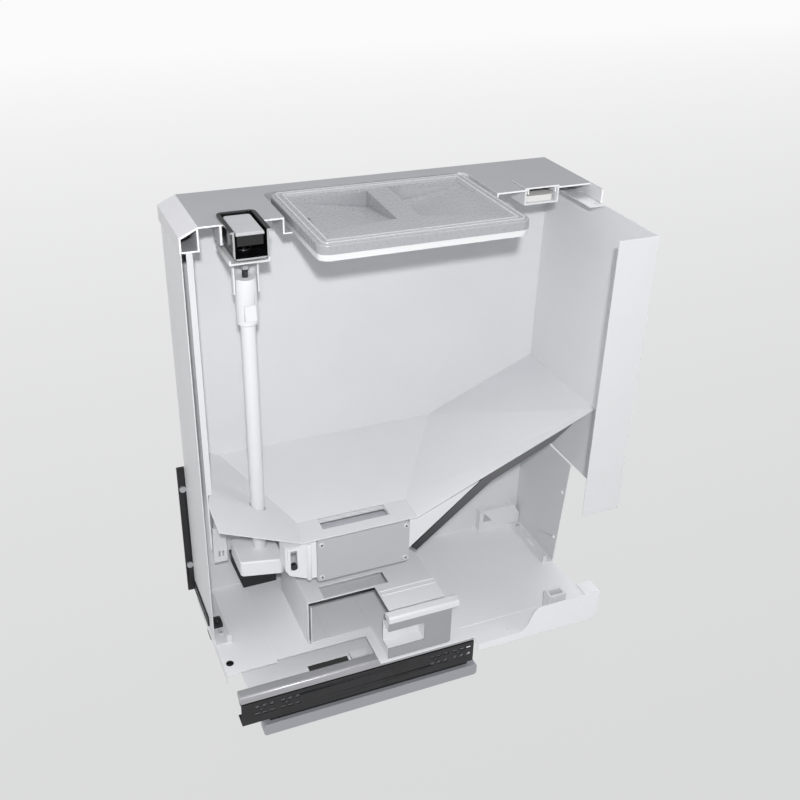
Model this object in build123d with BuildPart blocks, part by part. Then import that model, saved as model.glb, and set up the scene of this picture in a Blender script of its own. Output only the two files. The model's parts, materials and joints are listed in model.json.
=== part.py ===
from build123d import *
from math import atan2, cos, degrees, radians, sin
import os

# Sectioned pull-out grain dispenser for a 300 mm base cabinet, in mm.
# Stations are measured from a datum: x back from the cover's front face, y away from the
# section plane (negative towards the opened side), and z up from the floor.

# Overall
LENGTH = 470.0
COVER_TOP = 600.0
COVER_REACH = 107.0
REAR_REACH = 135.5
BRACKET_STANDOFF = 9.5
FRONT_X = (BRACKET_STANDOFF - LENGTH) / 2
CUT_Y = (REAR_REACH - COVER_REACH) / 2
MIDDLE = -21.5

# Sheet and wall thicknesses
WALL = 2.0
SHEET = 1.2
PANEL = 1.5
FIT = 0.3

# Casing
FLOOR = 72.0
COVER_UNDER = COVER_TOP - WALL
BOX_SECTION = (574.0, 598.0)
BOX_DEPTH = 20.0
CHAMFER_DROP = 9.0
WALL_INSIDE = 91.5
WALL_OUTSIDE = 93.0
FRONT_SHEET = (0.0, 1.2)
REAR_SHEET = (468.8, 470.0)
REAR_TOP = 584.0
REAR_BOTTOM = 240.0
REAR_RETURN = 421.0

# Lid opening, lid and seal
OPENING_X = (108.0, 350.0)
OPENING_FAR = 83.0
LID_X = (114.0, 344.0)
LID_Y = (-91.0, 78.0)
LID_Z = (591.0, 600.0)
LID_RIM = 602.0
LID_CORNER = 12.0
RECESS_FAR = 52.0
RECESS_NEAR = -46.0
RECESS_DEPTH = 18.0
RECESS_SPAN = (127.0, 216.0)
LID_CENTRE = (LID_X[0] + LID_X[1]) / 2

# Button and push rod
ROD = (63.0, -5.0)
BUTTON_NEAR = -31.0
BEZEL_X = (44.0, 85.0)
BEZEL_FAR = 30.0
CUP_X = (46.0, 82.6)
CUP_FAR = 27.5
CUP_FLOOR = (572.0, 574.0)
CAP_X = (49.5, 78.0)
CAP_FAR = 22.0
CAP_Z = (597.4, 600.4)
CARRIER_Z = (586.5, 597.4)
CARRIER_ROOF = 593.0
STUD_RADIUS = 3.3
STUD_BOTTOM = 528.0
COUPLING_Z = (492.0, 544.0)
COUPLING_RADIUS = 11.4
TUBE_RADIUS = 8.0
TUBE_Z = (193.0, 508.0)
LINK_X = (33.0, 83.0)
LINK_Y = (-30.0, 19.0)
LINK_Z = (183.0, 203.0)
LINK_SLANT = 11.0
PRESS = 12.0

# Metering drum and its crank
DRUM_Y = -39.0
DRUM_Z = 215.0
DRUM_RADIUS = 19.5
DRUM_X = (123.0, 215.0)
SHAFT_RADIUS = 4.0
CRANK_ARM = 12.0
CRANK_X = (103.0, 109.0)
CRANK_ANGLE = degrees(atan2(PRESS / 2, CRANK_ARM))
PIN_RADIUS = 2.5
HOUSING_X = (116.0, 222.0)
HOUSING_Y = (-65.0, -13.0)
HOUSING_Z = (180.0, 237.6)
HOUSING_END = 6.0
PLATE_Y = (-67.0, -65.0)

# Hopper
HOPPER_NEAR = -66.0
HOPPER_FLOOR = 240.0
CHUTE_SLOPE = 0.434
SIDE_SLOPE = 0.3
CHUTE_SKEW = 0.19
OUTLET_X = (127.0, 210.0)
OUTLET_Y = (-50.0, -28.0)

# Cup bay and catch cup
BAY_X = (105.0, 264.0)
BAY_Y = (-98.5, 60.0)
BAY_TOP = 138.0
BAY_CUT_X = 191.0
BAY_CUT_Y = -52.0
PANEL_X = (187.0, 269.0)
PANEL_Y = (-110.0, -108.0)
PANEL_Z = (72.6, 129.5)
TRAY_X = (109.0, 260.5)
TRAY_FAR = 40.0
TRAY_FLOOR = 73.0

# Slides and feet
SLIDE_X = (5.0, 304.0)
SLIDE_FACE = -108.0
SLIDE_Z = (28.0, 60.0)
RAIL_X = (31.0, 312.0)
RAIL_Y = (-106.0, -92.0)
RAIL_TOP = 17.0
BOLT_RADIUS = 2.5
BOLT_SPACING = 240.0

# Screws that hold the walls down: station x, y
FLANGE_SCREWS = ((11.0, 6.0), (11.0, 66.0), (461.0, -11.0), (461.0, 70.0))
SCREW_RADIUS = 1.8


def block(x, y, z, mode=Mode.ADD):
    """Box between (low, high) stations."""
    with Locations((FRONT_X + sum(x) / 2, CUT_Y + sum(y) / 2, sum(z) / 2)):
        return Box(x[1] - x[0], y[1] - y[0], z[1] - z[0], mode=mode)


def pillar(x, y, z, radius, mode=Mode.ADD):
    """Upright cylinder between two heights."""
    with Locations((FRONT_X + x, CUT_Y + y, sum(z) / 2)):
        return Cylinder(radius, z[1] - z[0], mode=mode)


def bar_x(x, y, z, radius, mode=Mode.ADD):
    """Cylinder along x between two stations."""
    with Locations((FRONT_X + sum(x) / 2, CUT_Y + y, z)):
        return Cylinder(radius, x[1] - x[0], rotation=(0, 90, 0), mode=mode)


def bar_y(x, y, z, radius, mode=Mode.ADD):
    """Cylinder along y between two stations."""
    with Locations((FRONT_X + x, CUT_Y + sum(y) / 2, z)):
        return Cylinder(radius, y[1] - y[0], rotation=(90, 0, 0), mode=mode)


def level(z):
    """Horizontal plane whose local axes are stations x and y."""
    return Plane(origin=(FRONT_X, CUT_Y, z))


def lengthwise(y):
    """Upright plane along the casing, facing the opened side."""
    return Plane(origin=(FRONT_X, CUT_Y + y, 0), x_dir=(1, 0, 0), z_dir=(0, -1, 0))


def crosswise(x):
    """Upright plane across the casing, facing the rear."""
    return Plane(origin=(FRONT_X + x, CUT_Y, 0), x_dir=(0, 1, 0), z_dir=(1, 0, 0))


def outline(plane, points):
    """Closed polygon on a plane."""
    with BuildSketch(plane) as shape:
        with BuildLine():
            Polyline(*points, close=True)
        make_face()
    return shape.sketch


def rounded(plane, x, y, corner):
    """Rounded rectangle between stations on a plane."""
    with BuildSketch(plane) as shape:
        with Locations((sum(x) / 2, sum(y) / 2)):
            RectangleRounded(x[1] - x[0], y[1] - y[0], corner)
    return shape.sketch


def sheet(points, drop=PANEL):
    """Sloping sheet under a flat polygon of (x, y, height) stations."""
    corners = [(FRONT_X + x, CUT_Y + y, z) for x, y, z in points]
    return Solid.extrude(Face(Wire.make_polygon(corners)), Vector(0, 0, -drop))


def opposite(y):
    """The same station pair on the other side of the casing's middle."""
    return (2 * MIDDLE - y[1], 2 * MIDDLE - y[0])


def save(piece, name):
    """Label a finished piece and write its file."""
    piece.part.label = name
    export_step(piece.part, f"parts/{name}.step")


os.makedirs("parts", exist_ok=True)


# ---- Top cover: one moulding with closed front section, wells and lips ----
WELL_X = ((41.0, 43.4), (85.4, 87.4))
POCKET_X = (385.0, 428.0)
POCKET_FAR = 41.0
POCKET_HOLE_X = (388.0, 425.0)
POCKET_HOLE_FAR = 37.0
LIP_BOTTOM = 583.7
LEDGE = 14.0
with BuildPart() as top_cover:
    block((BOX_DEPTH, LENGTH), (0, COVER_REACH), (COVER_UNDER, COVER_TOP))
    nose = (
        (0, BOX_SECTION[0]),
        (BOX_DEPTH, BOX_SECTION[0]),
        (BOX_DEPTH, COVER_TOP),
        (0, COVER_TOP - CHAMFER_DROP),
    )
    hollow = (
        (WALL, BOX_SECTION[0] + WALL),
        (BOX_DEPTH - WALL, BOX_SECTION[0] + WALL),
        (BOX_DEPTH - WALL, COVER_UNDER - WALL / 2),
        (WALL, COVER_UNDER - CHAMFER_DROP),
    )
    extrude(outline(lengthwise(COVER_REACH), nose), amount=COVER_REACH)
    extrude(outline(lengthwise(COVER_REACH - WALL), hollow), amount=COVER_REACH, mode=Mode.SUBTRACT)
    block((BOX_DEPTH, LENGTH), (COVER_REACH - WALL, COVER_REACH), (REAR_TOP + FIT, COVER_UNDER))
    block((LENGTH - WALL, LENGTH), (-25, COVER_REACH), (REAR_TOP + FIT, COVER_TOP))
    # Lips round the lid opening, with the ledge that the lid's seal rests on
    lip_z = (LIP_BOTTOM - PANEL, COVER_UNDER)
    block((OPENING_X[0] - WALL, OPENING_X[1] + WALL), (0, OPENING_FAR + WALL), lip_z)
    extrude(
        rounded(level(COVER_TOP), OPENING_X, (-OPENING_FAR, OPENING_FAR), LID_CORNER),
        amount=LIP_BOTTOM - COVER_TOP,
        mode=Mode.SUBTRACT,
    )
    ledge_x = (OPENING_X[0] + LEDGE, OPENING_X[1] - LEDGE)
    ledge_y = (-OPENING_FAR, OPENING_FAR - LEDGE)
    extrude(
        rounded(level(COVER_TOP), ledge_x, ledge_y, LID_CORNER),
        amount=lip_z[0] - COVER_TOP,
        mode=Mode.SUBTRACT,
    )
    # Well for the button, and the hole over the desiccant pocket
    for wall in WELL_X:
        block(wall, (0, BEZEL_FAR + WALL), (578, COVER_UNDER))
    block((WELL_X[0][0], WELL_X[1][1]), (BEZEL_FAR, BEZEL_FAR + WALL), (578, COVER_UNDER))
    block((CUP_X[0] - FIT, CUP_X[1] + FIT), (0, CUP_FAR + FIT), (CUP_FLOOR[0], COVER_TOP), Mode.SUBTRACT)
    block(POCKET_HOLE_X, (0, POCKET_HOLE_FAR), (COVER_UNDER, COVER_TOP), Mode.SUBTRACT)
save(top_cover, "top_cover")


# ---- Desiccant pocket, its cap and the pack inside ----
POCKET_Z = (582.0, COVER_UNDER)
CAP_GAP = 0.3
with BuildPart() as desiccant_box:
    block((POCKET_X[0], POCKET_X[1]), (0, POCKET_FAR), POCKET_Z)
    inner_x = (POCKET_X[0] + WALL, POCKET_X[1] - WALL)
    block(inner_x, (0, POCKET_FAR - WALL), (POCKET_Z[0] + WALL, POCKET_Z[1]), Mode.SUBTRACT)
save(desiccant_box, "desiccant_box")

with BuildPart() as desiccant_cap:
    with BuildSketch(level(COVER_TOP + CAP_GAP)):
        with BuildLine():
            arch = 8.0
            shoulder = POCKET_FAR - arch
            Polyline((POCKET_X[0], shoulder), (POCKET_X[0], 0), (POCKET_X[1], 0), (POCKET_X[1], shoulder))
            ThreePointArc(
                (POCKET_X[1], shoulder), (sum(POCKET_X) / 2, POCKET_FAR), (POCKET_X[0], shoulder)
            )
        make_face()
    extrude(amount=PANEL)
    skirt_x = (POCKET_HOLE_X[0] + 0.5, POCKET_HOLE_X[1] - 0.5)
    block(skirt_x, (0.5, POCKET_HOLE_FAR - 0.5), (594, COVER_TOP + CAP_GAP))
    inside_x = (skirt_x[0] + PANEL, skirt_x[1] - PANEL)
    block(inside_x, (0, POCKET_HOLE_FAR - 2), (593, COVER_TOP), Mode.SUBTRACT)
save(desiccant_cap, "desiccant_cap")

with BuildPart() as desiccant_pack:
    block((389, 424), (5, 37), (POCKET_Z[0] + WALL, 590.5))
    fillet(desiccant_pack.edges().filter_by(Axis.Z), radius=3)
save(desiccant_pack, "desiccant_pack")


# ---- Lid: rimmed tray with two finger recesses either side of a bar ----
def wedge(near, far, edge, bar, depth, lift):
    """Prism that deepens from its outer edge to the central bar."""
    points = ((edge, LID_Z[1] + lift), (bar, LID_Z[1] + lift), (bar, LID_Z[1] - depth))
    return extrude(outline(lengthwise(far), points), amount=far - near, mode=Mode.PRIVATE)


with BuildPart() as lid:
    extrude(rounded(level(LID_Z[0]), LID_X, LID_Y, LID_CORNER), amount=LID_RIM - LID_Z[0])
    tray_x = (LID_X[0] + 9, LID_X[1] - 9)
    tray_y = (LID_Y[0] + 9, LID_Y[1] - 9)
    extrude(rounded(level(LID_Z[1]), tray_x, tray_y, 8), amount=PANEL * 2, mode=Mode.SUBTRACT)
    for side in (-1, 1):
        edge = LID_CENTRE + side * (LID_CENTRE - RECESS_SPAN[0])
        bar = LID_CENTRE + side * (LID_CENTRE - RECESS_SPAN[1])
        shell = bar - side * WALL
        add(wedge(RECESS_NEAR - WALL, RECESS_FAR + WALL, edge, shell, RECESS_DEPTH + WALL, 0))
        add(wedge(RECESS_NEAR, RECESS_FAR, edge, bar, RECESS_DEPTH, 0), mode=Mode.SUBTRACT)
save(lid, "lid")

SEAL_Z = (584.0, LID_Z[0])
SEAL_X = (LID_X[0] + 1, LID_X[1] - 1)
SEAL_Y = (LID_Y[0] + 1, LID_Y[1] - 1)
with BuildPart() as lid_gasket:
    seal_height = SEAL_Z[1] - SEAL_Z[0]
    extrude(rounded(level(SEAL_Z[0]), SEAL_X, SEAL_Y, LID_CORNER - 1), amount=seal_height)
    seal_in_x = (SEAL_X[0] + 7, SEAL_X[1] - 7)
    seal_in_y = (SEAL_Y[0] + 7, SEAL_Y[1] - 7)
    extrude(rounded(level(SEAL_Z[0]), seal_in_x, seal_in_y, 5), amount=seal_height, mode=Mode.SUBTRACT)
save(lid_gasket, "lid_gasket")


# ---- Button: bezel with its cup, key cap, carrier and return spring ----
with BuildPart() as button_bezel:
    block(BEZEL_X, (BUTTON_NEAR, BEZEL_FAR), (COVER_TOP, COVER_TOP + 2))
    fillet(button_bezel.edges().filter_by(Axis.Z).group_by(Axis.Y)[-1], radius=7)
    block(CUP_X, (BUTTON_NEAR, CUP_FAR), (CUP_FLOOR[0], COVER_TOP))
    fillet(button_bezel.edges().filter_by(Axis.Y).group_by(Axis.Z)[0], radius=6)
    cup_inside = (CUP_X[0] + WALL, CUP_X[1] - WALL)
    block(cup_inside, (BUTTON_NEAR, CUP_FAR - WALL), (CUP_FLOOR[1], COVER_TOP + 2), Mode.SUBTRACT)
    pillar(*ROD, CUP_FLOOR, STUD_RADIUS + 1, Mode.SUBTRACT)
save(button_bezel, "button_bezel")

with BuildPart() as button_cap:
    block(CAP_X, (BUTTON_NEAR, CAP_FAR), CAP_Z)
    fillet(button_cap.edges().filter_by(Axis.Z).group_by(Axis.Y)[-1], radius=4)
    chamfer(button_cap.faces().sort_by(Axis.Z)[-1].edges(), length=0.5)
save(button_cap, "button_cap")

SPRING_RADIUS = 7.0
SPRING_WIRE = 0.6
SPRING_TURNS = 5
SPRING_Z = (CUP_FLOOR[1] + 1, CARRIER_ROOF - 1)
with BuildPart() as button_carrier:
    block((CAP_X[0] + 1, CAP_X[1] - 1), (BUTTON_NEAR + 1, CAP_FAR - 1), CARRIER_Z)
    fillet(button_carrier.edges().filter_by(Axis.Z).group_by(Axis.Y)[-1], radius=3)
    pillar(*ROD, (CARRIER_Z[0], CARRIER_ROOF), SPRING_RADIUS + 2, Mode.SUBTRACT)
save(button_carrier, "button_carrier")

with BuildPart() as return_spring:
    with BuildLine(level(SPRING_Z[0])):
        coil_height = SPRING_Z[1] - SPRING_Z[0]
        coil = Helix(coil_height / SPRING_TURNS, coil_height, SPRING_RADIUS, center=(*ROD, 0))
    with BuildSketch(Plane(origin=coil @ 0, z_dir=coil % 0)):
        Circle(SPRING_WIRE)
    sweep(path=coil)
save(return_spring, "return_spring")

# Mount plate under the cup with the guide channel that keeps the coupling upright
SLEEVE_Z = (527.0, 566.5)
with BuildPart() as button_mount:
    block((42, 84), (-28, 26), (SLEEVE_Z[1], SLEEVE_Z[1] + WALL))
    for side in ((42, 44), (82, 84)):
        block(side, (-28, 26), (SLEEVE_Z[1], CUP_FLOOR[0] + 6))
    pillar(*ROD, SLEEVE_Z, COUPLING_RADIUS + 2.6)
    pillar(*ROD, SLEEVE_Z, COUPLING_RADIUS + 1, Mode.SUBTRACT)
    pillar(*ROD, (SLEEVE_Z[1], SLEEVE_Z[1] + WALL), STUD_RADIUS + 3, Mode.SUBTRACT)
    block((40, 86), (-40, ROD[1] - 4), (SLEEVE_Z[0], SLEEVE_Z[1]), Mode.SUBTRACT)
    block((WELL_X[0][0], CUP_X[0] - 1), (-28, 26), (CUP_FLOOR[0], 580), Mode.SUBTRACT)
    block((CUP_X[1] + 1, 88), (-28, 26), (CUP_FLOOR[0], 580), Mode.SUBTRACT)
    block((CUP_X[0] - 1, CUP_X[1] + 1), (-28, 28), (CUP_FLOOR[0] - FIT, 580), Mode.SUBTRACT)
save(button_mount, "button_mount")


# ---- Push rod: stud, lock nut, coupling, tube and the link at its foot ----
with BuildPart() as adjuster_stud:
    pillar(*ROD, (STUD_BOTTOM, CARRIER_ROOF), STUD_RADIUS)
save(adjuster_stud, "adjuster_stud")

with BuildPart() as lock_nut:
    with BuildSketch(level(COUPLING_Z[1] + 9)):
        with Locations(ROD):
            RegularPolygon(5.2, 6)
            Circle(STUD_RADIUS, mode=Mode.SUBTRACT)
    extrude(amount=5)
save(lock_nut, "lock_nut")

with BuildPart() as rod_coupling:
    pillar(*ROD, COUPLING_Z, COUPLING_RADIUS)
    fillet(rod_coupling.edges().group_by(Axis.Z)[0], radius=2)
    pillar(*ROD, (STUD_BOTTOM, COUPLING_Z[1]), STUD_RADIUS, Mode.SUBTRACT)
    pillar(*ROD, (COUPLING_Z[0], TUBE_Z[1]), TUBE_RADIUS, Mode.SUBTRACT)
    block((ROD[0] - 5.5, ROD[0] + 12), (ROD[1] - 12, ROD[1] - 9), (498, 516), Mode.SUBTRACT)
save(rod_coupling, "rod_coupling")

with BuildPart() as coupling_clip:
    tongue = ((-9, 515.5), (-10.8, 514), (-12.8, 499.5), (-12.8, 498.5), (-9, 498.5))
    side_on = [(ROD[1] + reach, z) for reach, z in tongue]
    extrude(outline(crosswise(ROD[0] - 5), side_on), amount=12)
save(coupling_clip, "coupling_clip")

with BuildPart() as push_tube:
    pillar(*ROD, TUBE_Z, TUBE_RADIUS)
    pillar(*ROD, TUBE_Z, TUBE_RADIUS - PANEL, Mode.SUBTRACT)
save(push_tube, "push_tube")

CRANK_PIN = (DRUM_Y + CRANK_ARM, DRUM_Z + PRESS / 2)
UPRIGHT_X = (LINK_X[1], LINK_X[1] + 7)
with BuildPart() as link_block:
    plan = (
        (LINK_X[0], LINK_Y[0]),
        (LINK_X[1], LINK_Y[0] - LINK_SLANT),
        (LINK_X[1], LINK_Y[1]),
        (LINK_X[0], LINK_Y[1]),
    )
    extrude(outline(level(LINK_Z[0]), plan), amount=LINK_Z[1] - LINK_Z[0])
    fillet(link_block.edges().filter_by(Axis.Z), radius=5)
    fillet(link_block.faces().sort_by(Axis.Z)[-1].edges(), radius=2)
    block((LINK_X[1] - 8, UPRIGHT_X[1]), (CRANK_PIN[0] - 2, CRANK_PIN[0] + 7), (LINK_Z[0], LINK_Z[1] - 3))
    block(UPRIGHT_X, (CRANK_PIN[0] - 5, CRANK_PIN[0] + 7), (LINK_Z[0], CRANK_PIN[1] + 6))
    pillar(76, -20, (LINK_Z[0] - 13, LINK_Z[0] + 2), PIN_RADIUS)
    pillar(*ROD, (TUBE_Z[0], LINK_Z[1]), TUBE_RADIUS, Mode.SUBTRACT)
    bar_x((UPRIGHT_X[0], UPRIGHT_X[1]), *CRANK_PIN, PIN_RADIUS, Mode.SUBTRACT)
save(link_block, "link_block")

with BuildPart() as drive_pin:
    bar_x((UPRIGHT_X[0], CRANK_X[1] + 2), *CRANK_PIN, PIN_RADIUS)
save(drive_pin, "drive_pin")


# ---- Metering drum with its shaft, bushes and forked crank ----
with BuildPart() as metering_drum:
    bar_x(DRUM_X, DRUM_Y, DRUM_Z, DRUM_RADIUS)
    bar_x(DRUM_X, DRUM_Y, DRUM_Z, SHAFT_RADIUS, Mode.SUBTRACT)
    pocket_x = (OUTLET_X[0] + 2, OUTLET_X[1] - 2)
    block(pocket_x, (DRUM_Y - 9, DRUM_Y + 9), (DRUM_Z - 20, DRUM_Z - 8), Mode.SUBTRACT)
save(metering_drum, "metering_drum")

with BuildPart() as drum_shaft:
    bar_x((CRANK_X[0] - 2, HOUSING_X[1]), DRUM_Y, DRUM_Z, SHAFT_RADIUS)
save(drum_shaft, "drum_shaft")

with BuildPart() as drum_bushes:
    for end in (HOUSING_X[0], HOUSING_X[1] - HOUSING_END):
        bar_x((end, end + HOUSING_END), DRUM_Y, DRUM_Z, SHAFT_RADIUS + 2)
        bar_x((end, end + HOUSING_END), DRUM_Y, DRUM_Z, SHAFT_RADIUS + 0.05, Mode.SUBTRACT)
save(drum_bushes, "drum_bushes")

with BuildPart() as drum_crank:
    with BuildSketch(crosswise(CRANK_X[0])):
        with Locations((DRUM_Y, DRUM_Z)):
            with Locations(Rotation(0, 0, CRANK_ANGLE)):
                Circle(9)
                with Locations((9, 0)):
                    Rectangle(18, 11)
                with Locations((CRANK_ARM * 1.15, 0)):
                    Rectangle(CRANK_ARM * 0.95, 2 * PIN_RADIUS + 1, mode=Mode.SUBTRACT)
                Circle(SHAFT_RADIUS, mode=Mode.SUBTRACT)
    extrude(amount=CRANK_X[1] - CRANK_X[0])
save(drum_crank, "drum_crank")


# ---- Metering housing, its front plate and the end housing round the crank ----
with BuildPart() as metering_housing:
    block(HOUSING_X, HOUSING_Y, HOUSING_Z)
    cavity = (HOUSING_X[0] + HOUSING_END, HOUSING_X[1] - HOUSING_END)
    bar_x(cavity, DRUM_Y, DRUM_Z, DRUM_RADIUS + 1, Mode.SUBTRACT)
    block(OUTLET_X, OUTLET_Y, HOUSING_Z, Mode.SUBTRACT)
    bar_x(HOUSING_X, DRUM_Y, DRUM_Z, SHAFT_RADIUS + 2, Mode.SUBTRACT)
save(metering_housing, "metering_housing")

PLATE_X = (113.5, 228.5)
PLATE_Z = (179.5, 237.6)
PLATE_SCREWS = tuple((x, z) for x in (119.2, 224.0) for z in (185.4, 231.5))
with BuildPart() as housing_plate:
    block(PLATE_X, PLATE_Y, PLATE_Z)
    fillet(housing_plate.edges().filter_by(Axis.Y), radius=4)
    for x, z in PLATE_SCREWS:
        bar_y(x, PLATE_Y, z, SCREW_RADIUS, Mode.SUBTRACT)
save(housing_plate, "housing_plate")

with BuildPart() as housing_screws:
    for x, z in PLATE_SCREWS:
        bar_y(x, (PLATE_Y[0] - 1.8, PLATE_Y[0]), z, 3.6)
        bar_y(x, PLATE_Y, z, SCREW_RADIUS)
        bar_y(x, (PLATE_Y[0] - 1.8, PLATE_Y[0] - 0.8), z, 1.2, Mode.SUBTRACT)
save(housing_screws, "housing_screws")

END_X = (76.0, 113.0)
END_Z = (187.0, 237.6)
COLUMN_X = 104.0
SLOT_X = (81.5, 89.5)
with BuildPart() as end_housing:
    profile = (
        (END_X[0], END_Z[1]),
        (END_X[0], END_Z[0] + 19),
        (END_X[0] + 5, END_Z[0] + 11),
        (END_X[1] - 9, END_Z[0]),
        (END_X[1], END_Z[0]),
        (END_X[1], END_Z[1]),
    )
    extrude(outline(lengthwise(PLATE_Y[1]), profile), amount=PLATE_Y[1] - PLATE_Y[0])
    fillet(end_housing.edges().filter_by(Axis.Y).group_by(Axis.X)[1], radius=3)
    block(END_X, (PLATE_Y[1], HOUSING_Y[1]), (END_Z[1] - WALL, END_Z[1]))
    block((END_X[0], END_X[0] + WALL), (PLATE_Y[1], -44), (END_Z[0] + 19, END_Z[1]))
    block((95, END_X[1]), (HOUSING_Y[1] - WALL, HOUSING_Y[1]), END_Z)
    block((SLOT_X[0] - 3, SLOT_X[1] + 3), (PLATE_Y[0] - 2, PLATE_Y[0]), (205, END_Z[1]))
    pillar(COLUMN_X, PLATE_Y[0], END_Z, 2.8)
    block(SLOT_X, (PLATE_Y[0] - 2, PLATE_Y[1]), (207, END_Z[1] - 4), Mode.SUBTRACT)
save(end_housing, "end_housing")

with BuildPart() as slot_pin:
    bar_y((SLOT_X[0] + SLOT_X[1]) / 2, (PLATE_Y[0] - 3, PLATE_Y[1]), 211, 3.9)
save(slot_pin, "slot_pin")


# ---- Hopper: front, far and rear chutes that fall to a flat floor with the outlet ----
def front_chute(x, y):
    return 280.0 - CHUTE_SLOPE * (x - 3.5 - CHUTE_SKEW * (y - HOPPER_NEAR))


def front_chute_x(y, z):
    return 3.5 + CHUTE_SKEW * (y - HOPPER_NEAR) + (280.0 - z) / CHUTE_SLOPE


def far_chute(y):
    return HOPPER_FLOOR + SIDE_SLOPE * (y - OUTLET_Y[1])


def rear_chute_x(z):
    return LENGTH - 1.5 - (339.5 - z) / CHUTE_SLOPE


def rear_chute(x):
    return 339.5 - CHUTE_SLOPE * (LENGTH - 1.5 - x)


HOPPER_FAR = WALL_INSIDE
REAR_END = REAR_SHEET[0]
floor_front_near = (front_chute_x(HOPPER_NEAR, HOPPER_FLOOR), HOPPER_NEAR, HOPPER_FLOOR)
floor_front_far = (front_chute_x(OUTLET_Y[1], HOPPER_FLOOR), OUTLET_Y[1], HOPPER_FLOOR)
floor_rear_near = (rear_chute_x(HOPPER_FLOOR), HOPPER_NEAR, HOPPER_FLOOR)
floor_rear_far = (rear_chute_x(HOPPER_FLOOR), OUTLET_Y[1], HOPPER_FLOOR)
wall_z = far_chute(HOPPER_FAR)
wall_front = (front_chute_x(HOPPER_FAR, wall_z), HOPPER_FAR, wall_z)
wall_rear = (rear_chute_x(wall_z), HOPPER_FAR, wall_z)
LINER_EDGE = ((3.5, HOPPER_NEAR), (3.5, -22.0), (31.6, HOPPER_FAR))
with BuildPart() as hopper:
    rim = [(x, y, front_chute(x, y)) for x, y in LINER_EDGE]
    add(sheet([*rim, wall_front, floor_front_far, floor_front_near]))
    add(sheet([wall_front, wall_rear, floor_rear_far, floor_front_far]))
    add(sheet([floor_front_near, floor_front_far, floor_rear_far, floor_rear_near]))
    rear_top = [(REAR_END, y, rear_chute(REAR_END)) for y in (HOPPER_FAR, HOPPER_NEAR)]
    add(sheet([floor_rear_near, floor_rear_far, wall_rear, *rear_top]))
    block(OUTLET_X, OUTLET_Y, (HOPPER_FLOOR - 5, HOPPER_FLOOR + 5), Mode.SUBTRACT)
    pillar(*ROD, (240, 280), TUBE_RADIUS + 1, Mode.SUBTRACT)
save(hopper, "hopper")

with BuildPart() as hopper_gusset:
    corners = ((228.7, 237.5), (240, 237.5), (318, 271), (233, 200), (228.7, 196))
    extrude(outline(lengthwise(HOPPER_NEAR + PANEL), corners), amount=PANEL)
save(hopper_gusset, "hopper_gusset")

with BuildPart() as support_strap:
    band = ((440, 325), (324.5, 274.5), (232.5, 196.5), (239, 190.5), (334, 267), (415, 305))
    extrude(outline(lengthwise(HOPPER_NEAR + 16), band), amount=16)
save(support_strap, "support_strap")


# ---- Casing walls ----
with BuildPart() as far_wall:
    points = (
        (FRONT_SHEET[1], FLOOR),
        (REAR_SHEET[0], FLOOR),
        (REAR_SHEET[0], REAR_TOP - SHEET),
        (450, REAR_TOP - SHEET),
        (450, COVER_UNDER),
        (BOX_DEPTH, COVER_UNDER),
        (BOX_DEPTH, BOX_SECTION[0]),
        (FRONT_SHEET[1], BOX_SECTION[0]),
    )
    extrude(outline(lengthwise(WALL_OUTSIDE), points), amount=WALL_OUTSIDE - WALL_INSIDE)
save(far_wall, "far_wall")

with BuildPart() as front_wall:
    block(FRONT_SHEET, (-2, WALL_OUTSIDE), (FLOOR, BOX_SECTION[0]))
    block((FRONT_SHEET[1], BOX_DEPTH), (-13, 82), (FLOOR, FLOOR + SHEET))
    block((14, BOX_DEPTH), (-13, -13 + SHEET), (FLOOR + SHEET, FLOOR + 12))
    for x, y in FLANGE_SCREWS[:2]:
        pillar(x, y, (FLOOR, FLOOR + SHEET), SCREW_RADIUS, Mode.SUBTRACT)
save(front_wall, "front_wall")

with BuildPart() as front_liner:
    plan = ((6, 0), (8, 0), (31.2, WALL_INSIDE), (29.2, WALL_INSIDE))
    extrude(outline(level(208), plan), amount=BOX_SECTION[0] - 208)
    block((6, 12.5), (0, SHEET), (284, BOX_SECTION[0]))
    block((14.5, 31), (29, 29 + PANEL), (164, 215))
    for x in (20.5, 25.0):
        block((x, x + 2), (29, 29 + PANEL), (172, 180), Mode.SUBTRACT)
save(front_liner, "front_liner")

with BuildPart() as rear_wall:
    block(REAR_SHEET, (-REAR_REACH, WALL_OUTSIDE), (REAR_BOTTOM, REAR_TOP))
    block((REAR_RETURN, REAR_SHEET[0]), (-REAR_REACH, -REAR_REACH + SHEET), (REAR_BOTTOM, REAR_TOP))
    block((450, REAR_SHEET[0]), (-33, WALL_OUTSIDE), (REAR_TOP - SHEET, REAR_TOP))
    pillar(463, -21.5, (REAR_TOP - SHEET, REAR_TOP), 2.2, Mode.SUBTRACT)
save(rear_wall, "rear_wall")

with BuildPart() as lower_rear_wall:
    points = ((-16, FLOOR), (WALL_OUTSIDE, FLOOR), (WALL_OUTSIDE, REAR_BOTTOM - 3), (-31, REAR_BOTTOM - 3))
    extrude(outline(crosswise(REAR_SHEET[0]), points), amount=SHEET)
    block((452, REAR_SHEET[0]), (-18, 78), (FLOOR, FLOOR + SHEET))
    block((452, 458), (-18, -18 + SHEET), (FLOOR + SHEET, FLOOR + 12))
    block((457, 463), (20, 40), (FLOOR, FLOOR + SHEET), Mode.SUBTRACT)
    for y, z in ((-20, 188), (-12.5, 110)):
        bar_x(REAR_SHEET, y, z, BOLT_RADIUS, Mode.SUBTRACT)
    for x, y in FLANGE_SCREWS[2:]:
        pillar(x, y, (FLOOR, FLOOR + SHEET), SCREW_RADIUS, Mode.SUBTRACT)
save(lower_rear_wall, "lower_rear_wall")


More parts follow.
